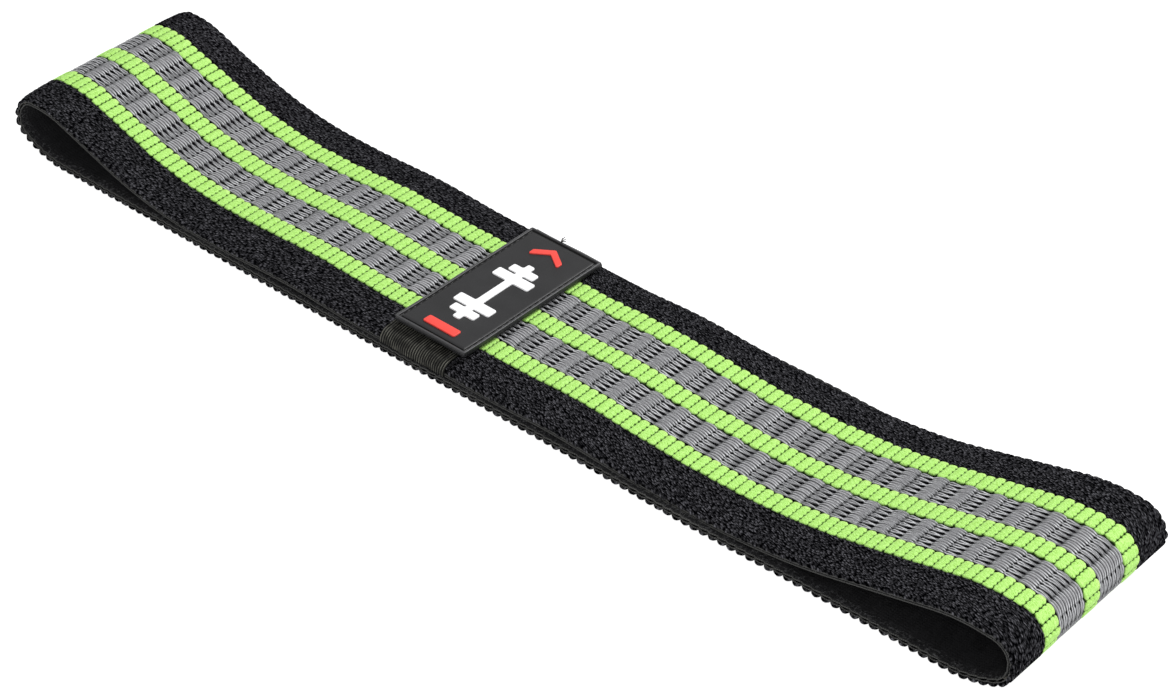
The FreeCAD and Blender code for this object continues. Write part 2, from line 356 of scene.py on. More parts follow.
brushed_finish = brushed_black()
for side in SIDES:
    way = np.linspace(0, routes[side].length, rib_counts[side] * 5 + 1)[None, :, None]
    edge_turn = np.linspace(0, math.pi / 2, 5)
    edge_radius = 0.6 * MM
    edge_y = half_width - edge_radius + edge_radius * np.cos(edge_turn)
    edge_lift = -half_thickness + edge_radius - edge_radius * np.sin(edge_turn)
    flat_y = np.linspace(half_width - edge_radius, edge_radius - half_width, 70)[1:-1]
    section_y = np.concatenate([edge_y, flat_y, -edge_y[::-1], [2 * MM - half_width, half_width - 2 * MM]])
    section_lift = np.concatenate([edge_lift, np.full(len(flat_y), -half_thickness), edge_lift[::-1],
                                   [-PLY_GAP, -PLY_GAP]])
    face = section_lift < -0.8 * half_thickness
    ripple = 0.12 * MM * np.cos(2 * math.pi * way / pitches[side]) * face
    on_strap(f"inner_ply_{side}", side, way, section_y, section_lift + ripple, brushed_finish,
             "inner_ply")

# ---------------------------------------------------------------------------------------------
# Selvedges. Both edges of the webbing are bound by two tight cords, woven in where the plies
# meet, that show as two fine lines along the edge.

CORD_RADIUS = 0.25 * MM


def cord_black(name, pale):
    """Black polyester thread, twisted: fine slanting lines along its length."""
    finish = Finish(name, Roughness=0.65, Specular_IOR_Level=0.2)
    vector, (along, across, lift) = finish.strap()
    twist = (along * 1.6 + lift * 1.2 + across * 1.2).wave()
    grain = finish.noise(vector, 3.0, 3.0)
    colour = finish.blend(twist * 0.6 + grain * 0.4, (0.006, 0.006, 0.007), (pale, pale, pale * 0.95))
    return finish.done(Base_Color=colour, Normal=finish.bump(twist, 0.12 * MM))


selvedge_finish = cord_black("selvedge_cord", 0.10)
for side in SIDES:
    for edge, sign in (("front", -1), ("back", 1)):
        way = np.linspace(0, routes[side].length, rib_counts[side] * 8 + 1)[None, :, None]
        ring = np.linspace(0, 2 * math.pi, 7, endpoint=False)
        heights = np.array([-0.15, -1.16])[:, None, None] * MM
        bulge = np.abs(np.sin(math.pi * way / pitches[side])) ** 0.6 - 0.5
        stand_out = np.array([0.05, -0.05])[:, None, None] * MM + 0.4 * MM * bulge * routes[side].below(way)
        wobble = 0.06 * MM * np.sin(2 * math.pi * way / pitches[side] + heights / MM * 3)
        across = sign * (half_width + stand_out + wobble + CORD_RADIUS * np.cos(ring))
        on_strap(f"selvedge_{edge}_{side}", side, way, across, heights + CORD_RADIUS * np.sin(ring) + wobble,
                 selvedge_finish, f"selvedge_{edge}")

# ---------------------------------------------------------------------------------------------
# Outer ply. Black crepe-woven polyester: a dark ground under the stripes and a pebbled margin on
# each side. Its thick weft makes a rib across the band, and every rib ends in a small knob.

STRIPES_EDGE = 25 * MM
MARGIN_LIFT = 0.92 * MM
PEBBLE_LENGTH, PEBBLE_WIDTH, PEBBLE_HEIGHT = 1.35 * MM, 0.95 * MM, 0.36 * MM
random = np.random.default_rng(7)
jitter = random.random((64, 64, 3))


def pebbles(along, across):
    """Height from 0 to 1 of small rounded bumps, scattered on a slanting grid."""
    u = along / PEBBLE_LENGTH + 0.6 * across / PEBBLE_WIDTH
    v = across / PEBBLE_WIDTH
    best = np.full(u.shape, 9.0)
    for du in (-1, 0, 1):
        for dv in (-1, 0, 1):
            iu, iv = np.floor(u).astype(int) + du, np.floor(v).astype(int) + dv
            place = jitter[iu % 64, iv % 64]
            away_u = u - iu - 0.1 - 0.8 * place[..., 0]
            away_v = v - iv - 0.1 - 0.8 * place[..., 1]
            away = away_u ** 2 + away_v ** 2 + 0.8 * away_u * away_v
            best = np.minimum(best, away / (0.6 + 0.7 * place[..., 2]))
    return np.clip(1 - best / 0.38, 0, 1) ** 0.8


def crepe_black():
    """Crinkled black yarn: short slanting strokes that catch the light, dark between, and painted shade where
    the relief is low.
    """
    finish = Finish("crepe_black", Roughness=0.8, Specular_IOR_Level=0.0)
    vector, (along, across, relief_and_shading) = finish.strap()
    flat = finish.node("CombineXYZ", None, along, across, 0.0)
    slanted = finish.node("VectorRotate", {"rotation_type": "Z_AXIS"}, Vector=flat, Angle=0.25)
    waved = finish.squeezed(slanted, (0.78, 2.1, 1.0))
    cells = {"voronoi_dimensions": "2D"}
    away = finish.node("TexVoronoi", cells, Vector=waved, Scale=1.0)
    chance = finish.node("TexVoronoi", cells, Vector=waved, Scale=1.0, out=1)
    stroke = (1.15 - away * 1.75).clamp()
    grain = finish.noise(flat, 3.4, 2.0)
    patches = finish.noise(flat, 0.12, 2.0)
    light = stroke ** 1.3 * (chance ** 1.6 * 1.5 + 0.12) * (grain + 0.5)
    # Painted shade: the strokes go dark where the relief is low, in the pebbles' hollows, at the tucks and on
    # the ground under the stripes.
    tone = light * (relief_and_shading * 0.7 + 0.3) * (patches * 0.7 + 0.65)
    colour = finish.blend(tone.clamp(), (0.0006, 0.0006, 0.0010), (0.138, 0.137, 0.152))
    return finish.done(Base_Color=colour, Normal=finish.bump(stroke * 0.8 + grain * 0.3, 0.5 * MM))


crepe_finish = crepe_black()
for side in SIDES:
    route, pitch = routes[side], pitches[side]
    way = np.linspace(0, route.length, rib_counts[side] * 12 + 1)[None, :, None]
    rib = np.abs(np.sin(math.pi * way / pitch)) ** 0.6
    below = route.below(way)
    fold = smooth(np.interp(way, route.way, np.abs(np.gradient(route.heading, route.way))) * 12 * MM)
    for edge, sign in (("front", -1), ("back", 1)):
        corner = np.linspace(0, math.pi / 2, 6)
        radius = 0.85 * MM
        flat = np.linspace(STRIPES_EDGE - 0.7 * MM, half_width - radius, 47)[:-1]
        section_y = np.concatenate([flat, half_width - radius + radius * np.sin(corner), [half_width] * 3])
        corner_lift = MARGIN_LIFT + radius * (np.cos(corner) - 1)
        side_lift = np.array([0.0, -0.08, -0.15]) * MM
        section_lift = np.concatenate([np.full(len(flat), MARGIN_LIFT), corner_lift, side_lift])
        out_y = np.concatenate([np.zeros(len(flat)), np.sin(corner), [1, 0.9, 0.5]])
        out_lift = np.concatenate([np.ones(len(flat)), np.cos(corner), [0, 0, 0]])
        near_edge = smooth((section_y - (half_width - 3.2 * MM)) / (2.4 * MM))
        knob = (0.4 + 1.0 * below) * MM
        plain = (0.13 + 0.25 * fold) * MM
        swell = rib * (plain + (knob - plain) * near_edge) - 0.42 * knob * near_edge
        relief_and_shading = pebbles(way + 0 * section_y, sign * section_y + 0 * way)
        tuck_in = smooth((section_y - STRIPES_EDGE + 0.7 * MM) / (1.1 * MM))
        rise = (swell + relief_and_shading * PEBBLE_HEIGHT * (1 - 0.5 * near_edge)) * tuck_in - 0.5 * MM * (1 - tuck_in)
        # Painted shade: the colour darkens in the pebbles' hollows, where the margin tucks under the stripes,
        # between the knobs at the edge and on the margin's hidden back.
        relief_and_shading = (0.1 + 0.9 * relief_and_shading) * (0.15 + 0.85 * tuck_in) * (1 - 0.6 * near_edge * (1 - rib))
        across = sign * (section_y + out_y * rise)
        limit = half_thickness + 0.35 * MM * fold * (1 - below ** 6)
        lift = np.minimum(section_lift + out_lift * rise, limit)
        back_y = sign * np.array([half_width - 1.2 * MM, half_width - 1.2 * MM, STRIPES_EDGE - 0.7 * MM])
        back_lift = np.array([-0.15 * MM, PLY_GAP, PLY_GAP])
        across = np.concatenate([across, np.broadcast_to(back_y, (*across.shape[:2], 3))], axis=2)
        lift = np.concatenate([lift, np.broadcast_to(back_lift, (*lift.shape[:2], 3))], axis=2)
        relief_and_shading = np.concatenate([relief_and_shading, np.zeros((*relief_and_shading.shape[:2], 3))], axis=2)
        order = slice(None, None, -sign * route.outward)
        across, lift, relief_and_shading = across[..., order], lift[..., order], relief_and_shading[..., order]
        on_strap(f"black_margin_{edge}_{side}", side, way, across, lift, crepe_finish, None,
                 own=(way, across, relief_and_shading * MM))
    ground_y = np.array([-STRIPES_EDGE, 0, STRIPES_EDGE, STRIPES_EDGE, 0, -STRIPES_EDGE])
    ground_lift = np.array([0.5, 0.5, 0.5, 0.37, 0.37, 0.37]) * MM
    way = np.linspace(0, route.length, rib_counts[side] * 3 + 1)[None, :, None]
    # Painted shade: the ground under the stripes gets a low relief, so it is painted nearly black as shade
    # under the yarns.
    on_strap(f"face_ground_{side}", side, way, ground_y, ground_lift, crepe_finish,
             "outer_ply", own=(way, ground_y, 0.08 * MM))

# ---------------------------------------------------------------------------------------------
# Green stripes. Bright polyester warp covers the thick weft, so each rib stands up as a plump
# pillow across the stripe. A row of needle pits marks the fine groove between neighbours.

STRIPE_TOP = half_thickness
PIT_PITCH = 1.9 * MM
GROOVE_FOOT = 0.55 * MM
green_bands = {"front": (-25.0, -17.1), "middle": (-4.0, 4.0), "back": (17.1, 25.0)}


def lime_yarn():
    """Bright warp yarn that runs lengthwise over each rib, painted dark green as shade down in the grooves and
    pits, with a painted cream highlight at each rib's back end.
    """
    finish = Finish("lime_yarn", Roughness=0.6, Specular_IOR_Level=0.15)
    _, (along, across, relief_and_shading) = finish.strap()
    flat = finish.node("CombineXYZ", None, along, across, 0.0)
    leaning = finish.node("VectorRotate", {"rotation_type": "Z_AXIS"}, Vector=flat, Angle=0.35)
    yarns = finish.noise(finish.squeezed(leaning, (0.45, 2.4, 1.0)), 1.5, 2.0, 0.65)
    flecks = finish.noise(flat, 2.6, 2.0, 0.6)
    spread = ((yarns * 0.6 + flecks * 0.4 - 0.38) * 4.2).clamp()
    face = finish.blend(spread, (0.25, 0.52, 0.062), (0.52, 0.875, 0.262))
    # Cream flecks: random ones in the yarn, made denser towards each rib's back end, where a cream rim is
    # added too; the denser flecks and the rim are a painted highlight.
    width_done = (across + 17.1) / 21.05
    turned_back = (width_done.math("FRACT", width_done) * 7.0 - 6.0).clamp()
    specks = ((flecks - 0.56) * 7.0).clamp() * (turned_back * 0.6 + 0.3) + turned_back ** 3.0 * 0.3
    cream_flecks_and_highlight = finish.blend(specks.clamp(), face, (0.72, 0.84, 0.30))
    # Painted shade: where the relief is low the colour goes dark green.
    colour = finish.blend((relief_and_shading * 1.15).clamp() ** 1.3, (0.010, 0.035, 0.004), cream_flecks_and_highlight)
    return finish.done(Base_Color=colour, Normal=finish.bump(yarns * 0.6 + flecks * 0.4, 0.3 * MM))


def groove_shade_green():
    """The foot of the ribs, where the binding threads go down, painted dark green as the shade between the
    ribs.
    """
    finish = Finish("groove_shade_green", Roughness=0.9, Specular_IOR_Level=0.05)
    vector, _ = finish.strap()
    shade = finish.noise(vector, 1.5, 2.0)
    return finish.done(Base_Color=finish.blend(shade, (0.004, 0.01, 0.002), (0.03, 0.07, 0.01)))


lime_finish, groove_finish = lime_yarn(), groove_shade_green()
for side in SIDES:
    pitch, count = pitches[side], rib_counts[side]
    for band, (low, high) in green_bands.items():
        low, high = low * MM, high * MM
        t = np.linspace(0, 1, 34)[:, None]
        stagger = (random.random((count, 1, 1)) - 0.5) * 0.45 * MM
        front = low - 0.1 * MM + stagger
        back = high + 0.15 * MM + stagger + (random.random((count, 1, 1)) - 0.5) * 0.3 * MM
        across = front + (back - front) * t
        front_round = np.clip(1 - (across - front) / (1.0 * MM), 0, 1)
        back_round = np.clip(1 - (back - across) / (1.5 * MM), 0, 1)
        end = np.sqrt(np.clip(1 - np.maximum(front_round, back_round) ** 2, 0, 1))
        phase = (random.random((count, 1, 1)) - 0.5) * 0.8
        pit = np.abs(np.cos(math.pi * (across / PIT_PITCH + phase))) ** 10
        half = pitch * 0.5 * (1 - 0.16 * pit) * (0.25 + 0.75 * end)
        w = np.array([-1, -0.96, -0.88, -0.7, -0.4, 0, 0.4, 0.7, 0.88, 0.96, 1, 0])
        dome = np.array([0.36, 0.58, 0.76, 0.9, 0.98, 1.0, 0.98, 0.9, 0.76, 0.58, 0.36, -0.1])
        shade = np.array([0.34, 0.6, 0.85, 0.95, 1.0, 1.0, 1.0, 0.95, 0.85, 0.6, 0.34, 0])
        dome = dome - 0.4 * pit * (np.abs(w) > 0.9)
        plump = 1 + (random.random((count, 1, 1)) - 0.5) * 0.14
        lean = (random.random((count, 1, 1)) - 0.5) * 0.3 * MM * (t - 0.5)
        way = (np.arange(count) + 0.5)[:, None, None] * pitch + w * half + lean
        height = STRIPE_TOP - GROOVE_FOOT
        lift = GROOVE_FOOT + np.minimum(height * plump * dome * (0.3 + 0.7 * end), height)
        # Painted shade: the colour darkens down each rib's sides, towards its rounded ends and in the needle
        # pits.
        pit_shade = 0.95 * pit * (np.abs(w) > 0.9) + 0.35 * pit * (np.abs(w) > 0.8)
        relief_and_shading = shade * (0.3 + 0.7 * end) * (1 - pit_shade)
        order = slice(None, None, routes[side].outward)
        way, lift, relief_and_shading = way[..., order], lift[..., order], relief_and_shading[..., order]
        on_strap(f"green_stripe_{band}_{side}", side, way, across, lift, lime_finish,
                 f"green_stripe_{band}", own=(way, across, relief_and_shading * MM))
        # The foot is a dark green sheet of painted shade that shows in the gaps between the ribs.
        way = np.linspace(0, routes[side].length, count * 2 + 1)[None, :, None]
        foot_y = np.array([low, high, high, low]) + np.array([0.3, -0.3, -0.3, 0.3]) * MM
        on_strap(f"green_foot_{band}_{side}", side, way, foot_y, np.array([0.66, 0.66, 0.5, 0.5]) * MM,
                 groove_finish, None)

# ---------------------------------------------------------------------------------------------
# Grey stripes. Twelve loose grey yarns float along each stripe. They bulge out as full pads for
# half of every third rib and then draw together in pairs, so that black shows between the pairs.

grey_bands = {"front": (-17.1, -4.0), "back": (4.0, 17.1)}
YARNS = 12
PAD_RIBS = 3
YARN_LIFT = 0.8  # where the floats dip into the ground, in millimetres off the middle
HOLE_OPEN, SLIT_OPEN = 0.26, 0.4  # how far a pair parts, in yarn spacings


def grey_float():
    """Grey yarn of a few visible filaments each, with painted highlight streaks along them and painted shade
    on the yarns' sides and low parts; own coordinates run along, round and up the yarn.
    """
    finish = Finish("grey_float", Roughness=0.5, Specular_IOR_Level=0.2)
    vector, (along, around, lift) = finish.strap()
    turned = around - (around / 8.0).math("ROUND", around / 8.0) * 8.0
    filaments = (turned * 0.62 + along * 0.1 + finish.noise(vector, 0.5, 1.0) * 0.7).wave()
    fibre = finish.noise(finish.squeezed(vector, (0.5, 2.5, 0.0)), 1.4, 2.0, 0.6)
    cloud = finish.noise(vector, 0.3, 2.0)
    fibre_and_sheen = (filaments ** 2.0 * 0.8 + fibre * 0.8 - 0.2).clamp()
    side = turned.math("ABSOLUTE", turned) ** 3.0
    # Painted light: loose yarns get brighter painted highlights and darker painted shade than the flatter full
    # pads.
    loose = finish.blend(fibre_and_sheen, (0.075, 0.075, 0.08), (0.7, 0.71, 0.73))
    packed = finish.blend(fibre_and_sheen, (0.17, 0.17, 0.178), (0.42, 0.42, 0.435))
    full = ((lift - 1.05) * 4.0).clamp()
    face = finish.blend(full, loose, packed)
    # Painted shade: each yarn goes dark towards its sides, less so on the full pads, and dark again on its low
    # parts.
    rounded = finish.blend(side * (0.9 - full * 0.55), face, (0.02, 0.02, 0.022))
    shaded = finish.blend(((lift - 0.52) * 2.0).clamp(), (0.005, 0.005, 0.006), rounded)
    colour = finish.blend((cloud - 0.3).clamp() * 0.4, shaded, finish.squeezed(shaded, (0.7, 0.7, 0.72)))
    return finish.done(Base_Color=colour, Normal=finish.bump(fibre_and_sheen, 0.2 * MM))


grey_finish = grey_float()
for side in SIDES:
    route, pitch = routes[side], pitches[side]
    # Over a bend the floats are pulled flat and parallel, and the pads all but go.
    bend = np.abs(np.gradient(route.heading, route.way))
    for band, (low, high) in grey_bands.items():
        low, high = low * MM, high * MM
        spacing = (high - low) / YARNS
        way = np.linspace(0, route.length, rib_counts[side] * 10 + 1)[None, :, None]
        number = np.arange(YARNS)[:, None, None]
        drift = (random.random((YARNS // 2, 1, 1)).repeat(2, axis=0) - 0.5) * 0.12
        cycle = way * 2 / (PAD_RIBS * pitch) + drift + 0.62
        column, place = np.floor(cycle).astype(int), cycle % 1
        is_pad = (column % 2 == 0).astype(float)
        taut = smooth(np.interp(way, route.way, bend) * 12 * MM)
        taut = np.convolve(np.pad(taut[0, :, 0], 12, "edge"), np.ones(25) / 25, "valid")
        loose = 1 - 0.6 * taut[None, :, None]
        wander = random.random((YARNS, 400)) - 0.5
        pick = wander[number[:, 0], np.clip(column[..., 0], 0, 399)][:, :, None]
        bulge = np.sin(math.pi * place) ** 0.6
        crest = is_pad * (1.3 + 0.13 * loose) + (1 - is_pad) * (1.3 - 0.14 * loose)
        lift = (YARN_LIFT + (crest - YARN_LIFT + 0.16 * pick * loose) * bulge) * MM
        pair = np.where(number % 2 == 0, 1, -1)
        # A small hole where the pad ends, then a slit that widens up to the next pad.
        hole = HOLE_OPEN * np.exp(-(((place - 0.07) / 0.07) ** 2))
        slit = SLIT_OPEN * np.clip((place - 0.3) / 0.6, 0, 1) ** 1.2 * np.clip((1.04 - place) / 0.14, 0, 1)
        closing = 0.03 + (1 - is_pad) * (hole + slit) + is_pad * 0.1 * (1 - place) ** 8
        closing = closing * (0.45 + 0.55 * loose) + 0.12 * pick * (0.4 + 0.6 * loose)
        across = low + (number + 0.5 + pair * closing) * spacing
        across = across + 0.28 * MM * loose * np.sin(math.pi * place) * (1.5 * is_pad - 1)
        thick = spacing * (0.45 - 0.24 * np.abs(closing) + 0.08 * is_pad * bulge)
        ring = np.linspace(0, 2 * math.pi, 6, endpoint=False) + math.pi / 6
        across = across + thick * np.cos(ring) * route.outward
        own_lift = lift + 0.4 * MM * (np.sin(ring) - 1)
        lift = lift - 0.3 * MM + 0.3 * MM * np.sin(ring)
        own = (way, (number * 8 + np.cos(ring) * route.outward) * MM, own_lift)
        on_strap(f"grey_stripe_{band}_{side}", side, way, across, lift, grey_finish,
                 f"grey_stripe_{band}", own=own)

# ---------------------------------------------------------------------------------------------
# Strap ends and their join. Both cut ends of the webbing are butted under the tape and held by a
# black zigzag over and under. The tape and the label cover them.

SEAM_DRAW_IN = 1.8 * MM  # the tape pulls the webbing a little narrower
THREAD_RADIUS = 0.22 * MM


def seam_hang(y, z):
    """How far the seam's upper face hangs down towards both edges, as the webbing beside it does."""
    edge = np.clip((np.abs(y) - 20 * MM) / (20 * MM), 0, 1) ** 2
    return 1.4 * MM * edge * np.clip((z - 4 * MM) / (3 * MM), 0, 1)


def sleeve_section(y_reach, low, high, low_radius, high_radius, count):
    """Points and outward directions round a rounded oblong in the YZ plane, evenly spread."""
    corners = []
    for cy, z, cz, start in ((1, high, -1, 0), (-1, high, -1, 90), (-1, low, 1, 180), (1, low, 1, 270)):
        radius = high_radius if z == high else low_radius
        for k in range(9):
            a = math.radians(start + 90 * k / 8)
            corners.append((cy * (y_reach - radius) + radius * math.cos(a),
                            z + cz * radius + radius * math.sin(a), math.cos(a), math.sin(a)))
    corners = np.array([*corners, corners[0]])
    run = np.concatenate([[0], np.cumsum(np.hypot(*np.diff(corners[:, :2], axis=0).T))])
    at = np.linspace(0, run[-1], count, endpoint=False)
    ring_y, ring_z, out_y, out_z = [np.interp(at, run, corners[:, k]) for k in range(4)]
    return (ring_y, ring_z - seam_hang(ring_y, ring_z), out_y, out_z), at


def stitch_tubes(starts, ends, arch, radius=THREAD_RADIUS):
    """Threads from start to end, each dipping into the cloth at both ends, and their own coordinates."""
    starts, ends = np.array(starts)[:, None, :], np.array(ends)[:, None, :]
    t = np.linspace(0, 1, 9)[None, :, None]
    up = np.array([0, 0, 1.0])
    rise = np.array(arch).reshape(-1, 1, 1) * (np.sin(math.pi * t) ** 0.6 - 0.45)
    line = starts + (ends - starts) * t + up * rise
    way = (ends - starts) / np.linalg.norm(ends - starts, axis=2, keepdims=True)
    aside = np.cross(way, up)
    ring = np.linspace(0, 2 * math.pi, 7, endpoint=False)
    tube = line[:, :, None, :] + radius * (aside[:, :, None, :] * np.cos(ring)[None, None, :, None]
                                           + up * np.sin(ring)[None, None, :, None])
    length = np.linalg.norm(ends - starts, axis=2)[:, :, None] * t
    own = np.stack(np.broadcast_arrays(length, radius * ring, radius * np.sin(ring)), axis=-1)
    return tube, own


def on_seam(name, points, own, finish, slot, *nodes, rows_close=False):
    """A piece that is sewn or moulded on at the seam and replaces those CAD nodes."""
    piece = quad_mesh(f"{name}_made", points, own, rows_close=rows_close, columns_close=True)
    piece.data.materials.append(finish)
    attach(piece, "seam")
    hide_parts(*nodes)
    return piece


(ring_y, ring_z, _, _), run = sleeve_section(half_width - SEAM_DRAW_IN, seam_z - half_thickness,
                                             seam_z + half_thickness - 0.1 * MM, 1.3 * MM, 1.3 * MM, 120)
for side, outer_x in (("left", START_X["left"]), ("right", START_X["right"])):
    x = np.linspace(*sorted((seam_x + 0.05 * MM * (1 if side == "right" else -1), outer_x)), 12)[:, None]
    points = np.stack(np.broadcast_arrays(x, ring_y, ring_z), axis=-1)
    own = np.stack(np.broadcast_arrays(x, run, 0.5 * MM), axis=-1)
    on_seam(f"{side}_strap_end", points[None], own[None], crepe_finish, "black_webbing", f"{side}_strap_end")

thread_finish = cord_black("black_thread", 0.06)
ZIGZAG_STEP, ZIGZAG_ADVANCE, ZIGZAG_REACH = 3.6 * MM, 2.5 * MM, 2.3 * MM
starts, ends, arches = [], [], []
for height, arch in ((0.1 * MM, 0.2 * MM), (-2 * half_thickness - 0.1 * MM, -0.2 * MM)):
    for i, y in enumerate(np.arange(-35, 33, ZIGZAG_STEP / MM) * MM):
        lean = 1 if i % 2 else -1
        level = seam_z + half_thickness + height
        z = [level - seam_hang(v, level) for v in (y, y + ZIGZAG_ADVANCE)]
        starts.append((seam_x - lean * ZIGZAG_REACH, y, z[0]))
        ends.append((seam_x + lean * ZIGZAG_REACH, y + ZIGZAG_ADVANCE, z[1]))
        arches.append(arch)
on_seam("join_stitches", *stitch_tubes(starts, ends, arches, 0.15 * MM), thread_finish, "black_thread",
        "join_stitches")

# ---------------------------------------------------------------------------------------------
# Cover tape. A black corded tape goes once round the butt joint, over both faces and both edges.
# Its fine cords run across the band and turn down over the edges.

TAPE_CORD_PITCH = 0.97 * MM
TAPE_THICKNESS = 0.5 * MM


def corded_tape():
    finish = Finish("corded_tape", Roughness=0.5, Specular_IOR_Level=0.12)
    vector, (along, around, relief_and_shading) = finish.strap()
    picks = (around * 2.1 + finish.noise(vector, 0.8, 1.0) * 0.5).wave()
    grain = finish.noise(vector, 3.0, 3.0)
    # Painted highlight: only the cords' crests are coloured pale, and the tape between them stays near-black.
    crest = relief_and_shading ** 7.0
    patches = ((finish.noise(vector, 0.35, 2.0) - 0.36) * 3.0).clamp()
    tone = crest * (picks * 0.5 + grain * 1.3 - 0.1) * (patches * 0.75 + 0.25)
    colour = finish.blend(tone.clamp(), (0.0022, 0.0022, 0.002), (0.21, 0.207, 0.175))
    return finish.done(Base_Color=colour, Normal=finish.bump(picks * 0.4 + grain * 0.6, 0.15 * MM))


# The soft tape bulges down to the lower run, and its edges follow the curl of the webbing inside.
UNDER_RADIUS, TOP_RADIUS = 0.9 * MM, 2.4 * MM
lower_run_top = 2 * half_thickness
(ring_y, ring_z, out_y, out_z), run = sleeve_section(
    tape_high.y - SEAM_DRAW_IN, lower_run_top + 0.1 * MM, tape_high.z - 0.1 * MM, UNDER_RADIUS, TOP_RADIUS, 250
)
below = 1 - np.clip((ring_z - lower_run_top) / (4 * MM), 0, 1)
ring_y = ring_y - np.clip(-ring_y / half_width, 0, 1) ** 4 * (0.8 + 0.8 * below) * MM
cords = round((tape_high.x - tape_low.x) / TAPE_CORD_PITCH)
x = np.linspace(tape_low.x, tape_high.x, cords * 6 + 1)[:, None]
cord = np.abs(np.sin(math.pi * (x - tape_low.x) / (tape_high.x - tape_low.x) * cords)) ** 0.8
waver = 0.16 * MM * np.sin(run * 330) * np.sin((x - seam_x) * 420)
over = 0.3 * MM * cord - 0.2 * MM + 0.1 * MM * np.sin(run * 420) * np.sin((x - seam_x) * 260)
sheet = np.stack([x + waver, ring_y + out_y * over, ring_z + out_z * over], axis=-1)
inner_y, inner_z = ring_y - out_y * TAPE_THICKNESS, ring_z - out_z * TAPE_THICKNESS
lining = np.stack([x + waver, inner_y + 0 * x, inner_z + 0 * x], axis=-1)
own_sheet = np.stack(np.broadcast_arrays(x, run, cord * MM), axis=-1)
own_lining = np.stack(np.broadcast_arrays(x, run, 0 * x), axis=-1)
tape_points = np.concatenate([sheet, lining[::-1]])[None]
tape_own = np.concatenate([own_sheet, own_lining[::-1]])[None]
on_seam("cover_tape", tape_points, tape_own, corded_tape(), "grosgrain_tape", "cover_tape", rows_close=True)

# ---------------------------------------------------------------------------------------------
# Tape stitches. Two rows of black lock stitches go through tape and webbing near the tape's
# edges, over the top, and back along the underside.

stitch_low, stitch_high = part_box("tape_stitches")
starts, ends, arches = [], [], []
STITCH, STITCH_PITCH = 2.6 * MM, 3.4 * MM
for x in (stitch_low.x + 0.25 * MM, stitch_high.x - 0.25 * MM):
    for height, arch in ((tape_high.z, 0.25 * MM), (2 * half_thickness + 0.1 * MM, -0.25 * MM)):
        for y in np.arange(stitch_low.y, stitch_high.y - STITCH / 2, STITCH_PITCH):
            starts.append((x, y, height - seam_hang(y, height)))
            ends.append((x, y + STITCH, height - seam_hang(y + STITCH, height)))
            arches.append(arch)
on_seam("tape_stitches", *stitch_tubes(starts, ends, arches), thread_finish, "black_thread", "tape_stitches")

# ---------------------------------------------------------------------------------------------
# Label. A patch of soft black PVC, moulded with a raised rim and a narrow stitching groove inside
# it, sewn over the seam. Its front end stands a little off the tape.

label_low, label_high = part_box("label_base")
label_x = (label_low.x + label_high.x) / 2
bar_low, bar_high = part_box("label_bar")
field_z = bar_low.z
LABEL_RADIUS = 0.7 * MM
FRONT_LIFT = 0.6 * MM


def label_bend(x, y):
    """How far the soft label stands above its flat shape."""
    front = np.clip((label_low.y * 0.35 - y) / (label_low.y * -0.65), 0, 1) ** 2 * FRONT_LIFT
    return front + 0.12 * MM * np.cos((y + 6 * MM) * 75) - 0.1 * MM * ((x - label_x) / (15 * MM)) ** 2


def rounded_oblong(half_x, half_y, radius, along=14, corner=7):
    """Points round an oblong with rounded corners, the same number whatever its size."""
    points = []
    for sx, sy, start in ((1, 1, 0), (-1, 1, 90), (-1, -1, 180), (1, -1, 270)):
        for k in range(corner):
            a = math.radians(start + 90 * k / (corner - 1))
            points.append((sx * (half_x - radius) + radius * math.cos(a),
                           sy * (half_y - radius) + radius * math.sin(a)))
        nx, ny = [(-1, 1), (-1, -1), (1, -1), (1, 1)][[0, 90, 180, 270].index(start)]
        a = math.radians(start + 90)
        here = points[-1]
        there = (nx * (half_x - radius) + radius * math.cos(a), ny * (half_y - radius) + radius * math.sin(a))
        for k in range(1, along):
            points.append(tuple(p + (q - p) * k / along for p, q in zip(here, there)))
    return np.array(points)


def pvc(name, low, high, roughness=0.42):
    """Soft moulded PVC: a satin skin with a faint grain and hazy patches of polish."""
    finish = Finish(name, Specular_IOR_Level=0.35)
    place = finish.node("TexCoord", out=3)
    grain = finish.noise(place, 3200.0, 2.0)
    haze = finish.noise(place, 90.0, 3.0)
    specks = finish.noise(place, 1400.0, 1.0)
    dust = ((specks - 0.70) * 9.0).clamp() * 0.25
    tone = (haze * 0.8 + grain * 0.2 + dust).clamp()
    # Painted light: a lighter highlight on the rim's crest and dark shade in the groove, both from the strap
    # attribute; the signs have neither.
    _, (polish, _, groove) = finish.strap()
    rim_highlit = finish.blend(polish, finish.blend(tone, low, high), [v * 2.2 for v in high])
    colour = finish.blend(groove, rim_highlit, (0.001, 0.001, 0.001))
    return finish.done(Base_Color=colour, Roughness=haze * 0.2 + (roughness - 0.1),
                       Normal=finish.bump(grain, 0.03 * MM, 0.6))


half_x, half_y = (label_high.x - label_low.x) / 2, (label_high.y - label_low.y) / 2
RIM_WIDTH, GROOVE_WIDTH, GROOVE_DEPTH = 1.0 * MM, 0.7 * MM, 0.5 * MM
rim_z = label_high.z
bottom_z = label_low.z
groove_z = field_z - GROOVE_DEPTH
groove_end = RIM_WIDTH + GROOVE_WIDTH
